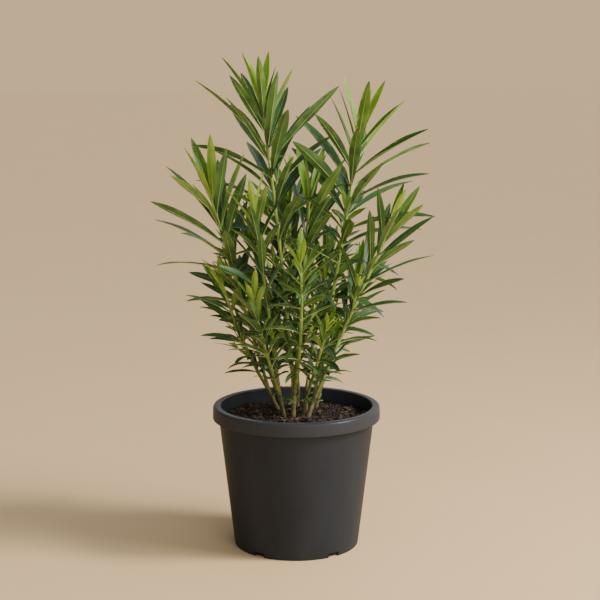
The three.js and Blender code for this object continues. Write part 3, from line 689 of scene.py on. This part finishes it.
class Pile:
    """Gathers closed shapes into one mesh, with points in millimetres."""

    def __init__(self):
        self.points = []
        self.faces = []
        self.kinds = []
        self.count = 0

    def add(self, points, faces, kinds=None):
        self.points.append(np.asarray(points, float))
        self.faces += [tuple(i + self.count for i in face) for face in faces]
        self.kinds += kinds or [0] * len(faces)
        self.count += len(points)

    def piece(self, name, materials, replaced, sharp=40):
        mesh = bpy.data.meshes.new(name)
        mesh.from_pydata((np.vstack(self.points) * MM).tolist(), [], self.faces)
        for material in materials:
            mesh.materials.append(material)
        mesh.polygons.foreach_set("material_index", self.kinds)
        soften(mesh, sharp)
        mesh.update()
        made = add_object(name, mesh)
        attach(made, "root")
        if replaced:
            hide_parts(*replaced)
        return made


def ring(radius, height, sides):
    """Points of a level circle, from +X round towards +Y."""
    angles = [2 * math.pi * k / sides for k in range(sides)]
    return [(radius * math.cos(angle), radius * math.sin(angle), height) for angle in angles]


# Materials
class Nodes:
    """Nodes of a material or of the sky. A socket takes a link or a plain value."""

    def __init__(self, tree):
        self.nodes = tree.nodes
        self.links = tree.links

    def feed(self, socket, value):
        if isinstance(value, bpy.types.NodeSocket):
            self.links.new(value, socket)
        else:
            socket.default_value = value

    def node(self, kind, **inputs):
        made = self.nodes.new("ShaderNode" + kind)
        for name, value in inputs.items():
            self.feed(made.inputs[name], value)
        return made

    def split(self, vector):
        return self.node("SeparateXYZ", Vector=vector).outputs

    def spread(self, value, from_low, from_high, to_low=0, to_high=1):
        ranged = self.node("MapRange", Value=value)
        for socket, number in zip(ranged.inputs[1:5], (from_low, from_high, to_low, to_high)):
            socket.default_value = number
        return ranged.outputs["Result"]

    def mix(self, share, first, second, mode="MIX"):
        node = self.node("Mix")
        node.data_type = "RGBA"
        node.blend_type = mode
        for number, value in ((0, share), (6, first), (7, second)):
            self.feed(node.inputs[number], (*value, 1) if isinstance(value, tuple) else value)
        return node.outputs[2]


class Shader(Nodes):
    """A node material. Every pattern runs on the piece's own coordinates, in metres."""

    def __init__(self, name, tint, roughness, **sockets):
        self.material = bpy.data.materials.new(name)
        self.material.use_nodes = True
        super().__init__(self.material.node_tree)
        self.surface = self.nodes["Principled BSDF"]
        for socket, value in {"Base_Color": (*linear(tint), 1), "Roughness": roughness, **sockets}.items():
            self.surface.inputs[socket.replace("_", " ")].default_value = value
        self.place = self.node("TexCoord").outputs["Object"]
        self.relief = None

    def noise(self, per_metre, detail=3, roughness=0.55, stretch=(1, 1, 1)):
        place = self.node("Mapping", Scale=stretch, Vector=self.place).outputs["Vector"]
        texture = self.node("TexNoise", Scale=per_metre, Detail=detail, Roughness=roughness, Vector=place)
        return texture.outputs["Fac"]

    def cells(self, per_metre):
        return self.node("TexVoronoi", Scale=per_metre, Vector=self.place).outputs["Distance"]

    def height(self, low, high):
        """From 0 to 1 between two heights in millimetres."""
        return self.spread(self.split(self.place)["Z"], low * MM, high * MM)

    def patches(self, pattern, levels, most=1):
        """Soft patches where a noise lies above a level, up to the most that they reach."""
        return self.spread(self.noise(*pattern), *levels, 0, most)

    def ramp(self, value, tints):
        ramp = self.node("ValToRGB", Fac=value)
        elements = ramp.color_ramp.elements
        while len(elements) < len(tints):
            elements.new(0.5)
        for element, (position, tint) in zip(elements, tints.items()):
            element.position = position
            element.color = (*linear(tint), 1)
        return ramp.outputs["Color"]

    def colour(self, value):
        self.feed(self.surface.inputs["Base Color"], value)

    def rough(self, value, low, high):
        self.feed(self.surface.inputs["Roughness"], self.spread(value, 0.3, 0.7, low, high))

    def bump(self, value, depth):
        """Adds a relief of a depth in millimetres, on top of the one before."""
        node = self.node("Bump", Strength=1, Distance=depth * MM, Height=value)
        if self.relief:
            self.feed(node.inputs["Normal"], self.relief)
        self.relief = node.outputs["Normal"]
        self.feed(self.surface.inputs["Normal"], self.relief)


def leaf_material(name, tint, deeper, roughness, glow):
    """A leaf's green in patches. Glow is the light that shines through."""
    shader = Shader(name, tint, roughness, Specular_IOR_Level=0.33, Subsurface_Weight=glow,
                    Subsurface_Radius=(1.0, 1.6, 0.3), Subsurface_Scale=0.0012)
    green = shader.mix(shader.patches((38, 3), (0.35, 0.7)), linear(tint), linear(deeper))
    warmer = tuple(value * share for value, share in zip(linear(tint), LEAF_WARMER))
    shader.colour(shader.mix(shader.patches((11, 2), (0.5, 0.68), 0.6), green, warmer))
    shader.rough(shader.noise(90, 2), roughness - 0.07, roughness + 0.09)
    shader.bump(shader.noise(260, 3), 0.08)
    return shader.material


def rib_material():
    shader = Shader("leaf_rib", RIB_TINT[0], 0.42)
    pale, green = map(linear, RIB_TINT)
    shader.colour(shader.mix(shader.patches((60, 2), (0.35, 0.7)), pale, green))
    return shader.material


def bark_material():
    """Bark that turns from brown at the soil to green towards the tips."""
    shader = Shader("green_bark", BARK_TINTS[0], 0.6)
    base = shader.ramp(shader.height(SOIL_LEVEL, BARK_GREEN_HEIGHT), BARK_TINTS)
    streaks = shader.patches((200, 4, 0.6, (1, 1, 0.14)), (0.4, 0.66), 0.7)
    base = shader.mix(streaks, base, shader.mix(1.0, base, BARK_STREAK, "MULTIPLY"))
    shader.colour(shader.mix(shader.patches((900, 2), (0.62, 0.72), 0.35), base, linear(BARK_SPECK)))
    shader.rough(shader.noise(220, 3), 0.48, 0.72)
    shader.bump(shader.noise(420, 4, 0.6, (1, 1, 0.25)), 0.25)
    shader.bump(shader.noise(1500, 2), 0.06)
    return shader.material


def plastic_material():
    """Matt plastic with faint clouds and dust, a rim band painted paler as a painted highlight where light
    from above falls on it, and a rubbed lip that shines.
    """
    shade, light, pale, dusty = map(linear, PLASTIC.values())
    shader = Shader("anthracite_plastic", PLASTIC["shade"], 0.5, Specular_IOR_Level=0.15)
    wall = shader.mix(shader.patches((9, 4, 0.6, (1, 1, 0.5)), (0.35, 0.7)), shade, light)
    band_foot = RIM_TOP - RIM_BAND
    # The rim band takes the paler band colour, a painted highlight where light from above falls on it.
    base = shader.mix(shader.height(band_foot - 2, band_foot + 2), wall, pale)
    shader.colour(shader.mix(shader.patches((600, 3), (0.6, 0.75), 0.25), base, dusty))
    shader.rough(shader.height(RIM_TOP - 6, RIM_TOP - 1), 0.56, 0.26)
    shader.bump(shader.noise(1100, 3), 0.1)
    shader.bump(shader.noise(30, 2, 0.5, (1, 1, 0.3)), 0.35)
    return shader.material


def compost_material():
    shader = Shader("bark_compost", COMPOST_TINTS[0.52], 0.9)
    shader.colour(shader.ramp(shader.noise(120, 5, 0.65), COMPOST_TINTS))
    shader.bump(shader.noise(380, 5, 0.7), 1.6)
    shader.bump(shader.cells(500), 0.8)
    return shader.material


def chip_material(name, dark, light):
    shader = Shader(name, dark, 0.85)
    shader.colour(shader.mix(shader.patches((130, 3), (0.4, 0.62)), linear(dark), linear(light)))
    shader.bump(shader.noise(700, 4), 0.5)
    return shader.material


def floor_material():
    dull, pale = map(linear, FLOOR_TINT)
    shader = Shader("pale_floor", FLOOR_TINT[1], 0.85)
    shader.colour(shader.mix(shader.noise(3, 4), dull, pale))
    return shader.material


# Leaves
def blade_width(leaf, shares):
    root = PETIOLE.half_width * min(1, PETIOLE.least_share + leaf.length / PETIOLE.full_length)
    least = np.interp(shares, [0, PETIOLE.reach, 1], [root, root, TIP_HALF_WIDTH])
    fuller = read_table(SMALL_LEAF_FULLER, leaf.length)
    return np.maximum(leaf_half_width(leaf.length, shares) * fuller, least)


def swept(leaf, shares, section):
    """A section of places across and heights, swept along a leaf."""
    centres, _, sides, faces = leaf_stations(leaf, shares)
    rows = [centres + sides * across[:, None] + faces * height[:, None] for across, height in section]
    return tube(np.stack(rows, 1))


def leaf_blade(leaf):
    """A blade's points, faces and kinds: 0 for the upper side, 1 for the underside and 2 where it is dry."""
    shares = np.array(BLADE_SHARES if leaf.length > SMALL_BLADE else SMALL_BLADE_SHARES)
    half = blade_width(leaf, shares)
    fold = np.tan(np.radians(read_table(BLADE_FOLD, shares) * leaf.fold))
    section = []
    for across, under in zip(BLADE_ACROSS, BLADE_UNDER):
        inward = abs(across)
        height = half * (inward * fold + BLADE_ARCH * 4 * inward * (1 - inward))
        if inward == 1:
            ripple = np.sin(shares * leaf.ripples + leaf.phase + across)
            height = height + half * leaf.ripple * ripple * np.sin(math.pi * shares)
        if under:
            height = height - BLADE_THICKNESS
        section.append((half * across, height))
    kinds = [1, *BLADE_KINDS * (len(shares) - 1), 1]
    if leaf.dry:
        dry = 1 + leaf.dry * len(BLADE_KINDS)
        kinds[-dry:] = [2] * dry
    return *swept(leaf, shares, section), kinds


def leaf_midrib(leaf):
    """The midrib stands a little proud above and more below."""
    shares = np.array(MIDRIB_SHARES)
    size = min(MIDRIB_SIZE.most, MIDRIB_SIZE.least + leaf.length / MIDRIB_SIZE.per_length)
    half = read_table(MIDRIB_HALF_WIDTH, shares) * size
    depth = read_table(MIDRIB_DEPTH, shares) * size
    section = [(across * half, proud - under * depth) for across, proud, under in MIDRIB_SECTION]
    return swept(leaf, shares, section)


def dress_leaf(leaf):
    """Seeded twist, fold, ripples, tint and dry tip of a living leaf."""
    draw = random_from(leaf.seed + DRESSING_SEED)
    leaf.twist = math.radians(either(draw, LEAF_TWIST))
    for trait, span in LEAF_LIFE.items():
        setattr(leaf, trait, above(draw, *span))
    leaf.tint = max(leaf.below + either(draw, TINT_VARIES), 0)
    old = leaf.below > DRY_FROM and leaf.length > SMALL_BLADE
    leaf.dry = int(old and draw() < DRY_SHARE) * (1 + int(draw() < DRY_FAR_SHARE))


def make_leaves(leaves):
    ribs = Pile()
    for leaf in leaves:
        dress_leaf(leaf)
        ribs.add(*leaf_midrib(leaf))
    dry = leaf_material("leaf_dry", *DRY_TINT, 0.6, 0)
    youngest = 0
    for name, (oldest, upper, deeper, under, roughness, glow) in LEAF_TINTS.items():
        pile = Pile()
        for leaf in leaves:
            if youngest <= leaf.tint < oldest:
                pile.add(*leaf_blade(leaf))
        youngest = oldest
        top = leaf_material("leaf_" + name, upper, deeper, roughness, glow)
        back = leaf_material("leaf_back_" + name, under, deeper, 0.5, glow)
        pile.piece("leaves_" + name, [top, back, dry], FOLIAGE_NODES, 50)
    ribs.piece("leaf_midribs", [rib_material()], FOLIAGE_NODES, 60)


# Sprigs
def sprig_leaf(root, axis, bearing, spread, length, tint, draw):
    seed = int(1e6 * draw())
    bend = above(draw, *SPRIG_BEND)
    roll = either(draw, LEAF_VARIES.roll)
    return leaf_record(root, axis, tint, seed, length, bearing, spread, bend, roll)


def sprig(root, axis, turn, size, tint, draw):
    """A few small leaves that fan out from an axil."""
    stem = unit(axis + outward(axis, math.radians(turn)) * SPRIG_LEAN)
    leaves = []
    for _ in range(SPRIG_LEAVES):
        spread = above(draw, *SPRIG_SPREAD)
        length = above(draw, *SPRIG_LEAF) * size
        leaves.append(sprig_leaf(root, stem, 360 * draw(), spread, length, tint, draw))
    return leaves


def bud(shoot):
    """The smallest leaves, close about the growing tip."""
    draw = random_from(seed_from(SPRIG_SEEDS, shoot.seed, 0))
    axis = direction_on(shoot.curve, 1)
    root = shoot.curve[2] - axis * BUD_DEPTH
    leaves = []
    for leaf in range(BUD_LEAVES):
        length = above(draw, *BUD_LEAF)
        bearing = shoot.bearing + BUD_TURN * leaf + BUD_FIRST_TURN
        leaves.append(sprig_leaf(root, axis, bearing, above(draw, *BUD_SPREAD), length, 0, draw))
    return leaves


def grow_sprigs(limbs, placed):
    """Sprigs that found room, by the clearance test of the other leaves."""
    grown = []
    for shoot in SHOOTS:
        grown += settle(bud(shoot), shoot.name, limbs, placed)
        for root, axis, below, order in whorls_of(shoot):
            draw = random_from(seed_from(SPRIG_SEEDS, shoot.seed, order + 1))
            for axil in range(LEAVES_PER_WHORL):
                chance = draw()
                if below > SPRIG_FROM and chance < SPRIG_CHANCE:
                    turn = whorl_turn(shoot.bearing, order, axil)
                    leaves = sprig(root, axis, turn, twig_vigour(root[2]), SPRIG_TINT, draw)
                    grown += settle(leaves, shoot.name, limbs, placed)
    for number, cane in enumerate(CANES):
        draw = random_from(seed_from(SPRIG_SEEDS, number, CANE_SPRIG_ORDER))
        for _ in range(CANE_SPRIGS):
            place = above(draw, *CANE_SPRIG_PLACE)
            root, axis = spot_on(cane.curve, place)
            leaves = sprig(root, axis, 360 * draw(), CANE_SPRIG_SIZE, CANE_SPRIG_TINT, draw)
            grown += settle(leaves, None, limbs, placed)
    return grown


# Stems
def bark_tube(curve, begin, end, radius_at, nodes, kind, seed):
    """Bark with swollen nodes, leaf scars and fine relief. Each node is a place and a bearing in degrees."""
    sides, relief = BARK_TUBES[kind]
    rows = max(3, int(length_of(curve) * (end - begin) / RING_EVERY))
    marks = [(point_on(curve, place), math.radians(bearing)) for place, bearing in nodes]
    between_scars = 2 * math.pi / LEAVES_PER_WHORL
    rings = []
    for row in range(rows + 1):
        place = begin + (end - begin) * row / rows
        centre, direction = spot_on(curve, place)
        radius = radius_at(place)
        points = []
        for k in range(sides):
            angle = 2 * math.pi * k / sides
            spot = outward(direction, angle)
            relief_spot = Vector(centre + spot * radius) * RELIEF_WAVES + Vector((seed, 0, 0))
            swell = 0
            for mark, bearing in marks:
                off = float((centre - mark) @ direction)
                if abs(off) < 3 * NODE_REACH:
                    near = math.exp(-((off / NODE_REACH) ** 2))
                    from_scar = (angle - bearing) % between_scars - between_scars / 2
                    lobes = max(0, math.cos(SCAR_LOBES * from_scar))
                    swell += near * (NODE_SWELLING * radius + SCAR_PROUD * (1 - lobes) ** 2)
            swell += relief * noise.noise(relief_spot)
            points.append(centre + spot * (radius + swell))
        rings.append(points)
    return tube(rings)


def node_places(shoot, lowest):
    """Nodes of a shoot, from its tip down to the lowest distance below it."""
    belows = [below for _, _, below, _ in whorls_of(shoot)]
    while belows[-1] < lowest - NODE_EVERY - 1:
        belows.append(belows[-1] + NODE_EVERY)
    places = [place_below_tip(shoot.curve, below) for below in belows]
    return [(place, shoot.bearing + WHORL_TURN * order) for order, place in enumerate(places)]


def cane_tube(cane, number):
    """A cane from a little below the soil to just past its fork."""
    start, middle, fork = cane.curve
    buried = start + unit(start - fork) * CANE_BURIED.depth
    curve = [buried, middle, fork + unit(fork - start) * CANE_BURIED.past_fork]
    first_turn = CANE_NODES.bearing + CANE_NODES.turn_by_cane * number
    count = range(CANE_NODES.count)
    nodes = [(CANE_NODES.first + CANE_NODES.step * k, first_turn + CANE_NODES.turn * k) for k in count]

    def radius_at(place):
        return cane_radius(cane, max(0, place - CANE_BURIED.share))

    return bark_tube(curve, 0, 1, radius_at, nodes, "cane", number)


def stem_tube(shoot, begin, end, lowest, kind, number):
    """A stretch of a shoot, with nodes down to the lowest distance below its tip."""
    nodes = node_places(shoot, lowest)
    return bark_tube(shoot.curve, begin, end, partial(stem_radius, shoot), nodes, kind, number)


def make_canes(bark):
    """One piece for each cane with its boughs."""
    for number, cane in enumerate(CANES):
        pile = Pile()
        pile.add(*cane_tube(cane, number))
        replaced = ["cane_" + cane.name]
        for shoot in SHOOTS:
            if shoot.cane == cane.name:
                pile.add(*stem_tube(shoot, 0, shoot.bough_end, shoot.length, "bough", number))
                replaced.append("bough_" + shoot.name)
        pile.piece("bark_" + cane.name, [bark], replaced)


def make_stems(bark):
    pile = Pile()
    twig_pile = Pile()
    for number, shoot in enumerate(SHOOTS):
        pile.add(*stem_tube(shoot, shoot.bough_end, 1, 0, "shoot", number))
        for twig in shoot.twigs:
            twig_pile.add(*bark_tube(twig.curve, 0, 1, twig_radius, [], "twig", number))
    pile.piece("shoot_stems", [bark], FOLIAGE_NODES)
    twig_pile.piece("side_twigs", [bark], FOLIAGE_NODES)


# Pot
def wall_radius(height):
    return BASE_RADIUS + (WALL_TOP_RADIUS - BASE_RADIUS) / (RIM_TOP - RIM_BAND) * height


def arc(radius, height, size, start, stop, steps):
    angles = np.radians(np.linspace(start, stop, steps + 1))
    return [(radius + size * math.cos(a), height + size * math.sin(a)) for a in angles]


def pot_profile():
    """Half section of the pot as radius and height, from underside to inside."""
    foot, nook, band, rim, lip = POT_ROUNDS.values()
    band_foot = RIM_TOP - RIM_BAND
    wall_top = band_foot - NOOK_DROP
    lip_top = RIM_TOP - LIP_DROP
    path = [(0, 0), (BASE_RADIUS - FOOT_INSET, 0)]
    path += arc(BASE_RADIUS - foot, foot, foot, -90, 0, 4)
    path += [(wall_radius(height), height) for height in WALL_HEIGHTS]
    path += arc(wall_radius(wall_top) + nook, wall_top, nook, 180, 90, 3)
    path += arc(RIM_RADIUS - band, band_foot + band, band, -90, 0, 4)
    path += [(RIM_RADIUS + 0.1, band_foot + 8), (RIM_RADIUS, RIM_TOP - 10)]
    path += arc(RIM_RADIUS - rim, RIM_TOP - rim, rim, 0, 90, 9)
    path += [(RIM_RADIUS - 9, RIM_TOP - 0.25), (LIP_RADIUS + 3, lip_top)]
    path += arc(LIP_RADIUS + lip, lip_top - lip, lip, 90, 180, 6)
    inside = min(LIP_RADIUS, wall_radius(STRAIGHT_FROM) - WALL)
    path += [(LIP_RADIUS - LIP_DROP, RIM_TOP - 8), (inside, STRAIGHT_FROM)]
    path += [(BASE_RADIUS - WALL, FLOOR), (0, FLOOR)]
    return path


def notch_blocks():
    """A block for each drainage notch, half sunk in the foot of the wall."""
    blocks = bmesh.new()
    size = Matrix.Diagonal((2 * NOTCH.depth * MM, NOTCH.width * MM, 2 * NOTCH.height * MM, 1))
    for k in range(NOTCH.count):
        turn = Matrix.Rotation(math.radians(NOTCH.first_degrees + 360 / NOTCH.count * k), 4, "Z")
        place = turn @ Matrix.Translation((BASE_RADIUS * MM, 0, 0)) @ size
        bmesh.ops.create_cube(blocks, size=1, matrix=place)
    mesh = bpy.data.meshes.new("notch_blocks")
    blocks.to_mesh(mesh)
    blocks.free()
    return add_object("notch_blocks", mesh)


def make_pot():
    rings = [ring(radius, height, POT_SIDES if radius else 1) for radius, height in pot_profile()]
    pile = Pile()
    pile.add(*skin(rings, POT_SIDES))
    pot = pile.piece("moulded_pot", [plastic_material()], ["pot"], 35)
    blocks = notch_blocks()
    cut = pot.modifiers.new("notches", "BOOLEAN")
    cut.object = blocks
    cut.operation = "DIFFERENCE"
    cut.solver = "EXACT"
    finished = bpy.data.meshes.new_from_object(pot.evaluated_get(bpy.context.evaluated_depsgraph_get()))
    pot.modifiers.clear()
    pot.data = finished
    bpy.data.objects.remove(blocks)
    soften(finished, 35)


# Potting soil
def soil_height(x, y):
    share = math.hypot(x, y) / LIP_RADIUS
    lumps = noise.fractal(Vector((x, y, 0)) * SOIL_LUMPS.waves, 1.0, 2.0, 5) * SOIL_LUMP * SOIL_LUMPS.share
    crumbs = abs(noise.noise(Vector((x, y, 7)) * SOIL_CRUMBS.waves)) * SOIL_CRUMBS.height
    return SOIL_LEVEL + SOIL_DOME * (1 - share * share) + lumps + crumbs + SOIL_LIFT


def soil_radius(height):
    return wall_radius(height) - WALL - GAP


def make_soil():
    rings = [ring(soil_radius(FLOOR), FLOOR + GAP, SOIL_SECTORS)]
    for step in range(SOIL_RINGS, -1, -1):
        flat = ring(soil_radius(SOIL_LEVEL) * step / SOIL_RINGS, 0, SOIL_SECTORS if step else 1)
        rings.append([(x, y, soil_height(x, y)) for x, y, _ in flat])
    points, faces = skin(rings, SOIL_SECTORS)
    # A face's first corner settles which way it is split
    faces = [(*face[1:], face[0]) for face in faces] + [tuple(range(SOIL_SECTORS))[::-1]]
    pile = Pile()
    pile.add(points, faces)
    pile.piece("soil_surface", [compost_material()], ["soil"], 80)


def flake(draw, long, wide, thick):
    """A chip of eight jittered corners, turned at random."""
    corners = []
    for x, y, z in [(x, y, z) for z in (-1, 1) for x, y in ((-1, -1), (1, -1), (1, 1), (-1, 1))]:
        jitter = [above(draw, *CHIP_JITTER) for _ in range(3)]
        spot = (x * long / 2 * jitter[0], y * wide / 2 * jitter[1], z * thick / 2 * jitter[2])
        corners.append(Vector(spot))
    turn = Euler((either(draw, CHIP_TILT), either(draw, CHIP_TILT), FULL_TURN * draw())).to_matrix()
    return [turn @ corner for corner in corners]


def make_chips():
    """Bark chips, crumbs and perlite strewn over the soil."""
    faces = [(3, 2, 1, 0), (4, 5, 6, 7), (0, 1, 5, 4), (1, 2, 6, 5), (2, 3, 7, 6), (3, 0, 4, 7)]
    for name, (count, seed, (small, large), dark, light) in CHIPS.items():
        draw = random_from(seed)
        pile = Pile()
        for _ in range(count):
            out = (soil_radius(SOIL_LEVEL) - CHIP_EDGE_ROOM) * math.sqrt(draw())
            angle = FULL_TURN * draw()
            x, y = out * math.cos(angle), out * math.sin(angle)
            long = small + (large - small) * draw() ** 2
            wide = long * above(draw, *CHIP_WIDTH)
            thick = long * above(draw, *CHIP_THICKNESS)
            centre = Vector((x, y, soil_height(x, y) + thick * CHIP_LIFT))
            pile.add([corner + centre for corner in flake(draw, long, wide, thick)], faces)
        pile.piece(name, [chip_material(name, dark, light)], [], 30)


# Studio
def make_sky():
    """Soft light: warm along the horizon, and overhead brighter on the right."""
    world = bpy.data.worlds.new("studio")
    bpy.context.scene.world = world
    world.use_nodes = True
    sky = Nodes(world.node_tree)
    axes = sky.split(sky.node("TexCoord").outputs["Generated"])
    horizon, left, right = (tuple(power * value for value in linear(tint)) for power, tint in SKY.values())

    def rise(axis, low, high):
        share = sky.spread(axes[axis], low, high)
        share.node.interpolation_type = "SMOOTHSTEP"
        return share

    overhead = sky.mix(rise("X", *SKY_SIDES), left, right)
    whole = sky.mix(rise("Z", *SKY_BAND), horizon, overhead)
    sky.feed(sky.nodes["Background"].inputs["Color"], whole)


def make_floor():
    mesh = bpy.data.meshes.new("floor")
    far = FLOOR_REACH
    mesh.from_pydata([(-far, -far, 0), (far, -far, 0), (far, far, 0), (-far, far, 0)], [], [(0, 1, 2, 3)])
    mesh.materials.append(floor_material())
    add_object("floor", mesh)


def make_lights():
    for name, (place, size, power, colour) in SOFT_LIGHTS.items():
        light = bpy.data.lights.new(name, "AREA")
        light.size = size
        light.energy = power
        light.color = colour
        lamp = add_object(name, light)
        lamp.location = place
        lamp.rotation_euler = (Vector(LIGHT_AIM) - Vector(place)).to_track_quat("-Z", "Y").to_euler()
    sun = bpy.data.lights.new("sun", "SUN")
    sun.angle = math.radians(SUN.softness)
    sun.energy = SUN.strength
    sun.color = SUN.colour
    add_object("sun", sun).rotation_euler = Vector(SUN.direction).to_track_quat("Z", "Y").to_euler()


def make_camera():
    lens = bpy.data.cameras.new("photo_view")
    lens.lens = CAMERA.lens
    lens.sensor_width = SENSOR_WIDTH
    lens.clip_end = FARTHEST_VIEW * MM
    camera = add_object("photo_view", lens)
    camera.location = (0, -CAMERA.distance * MM, CAMERA.height * MM)
    camera.rotation_euler = (math.pi / 2 - CAMERA.pitch, 0, -CAMERA.yaw)
    bpy.context.scene.camera = camera


make_floor()
make_sky()
make_lights()
make_camera()
limbs = bare_limbs()
grow_twigs(limbs)
placed = []
leaves = grow_leaves(limbs, placed) + grow_sprigs(limbs, placed)
bark = bark_material()
make_canes(bark)
make_stems(bark)
make_leaves(leaves)
make_pot()
make_soil()
make_chips()
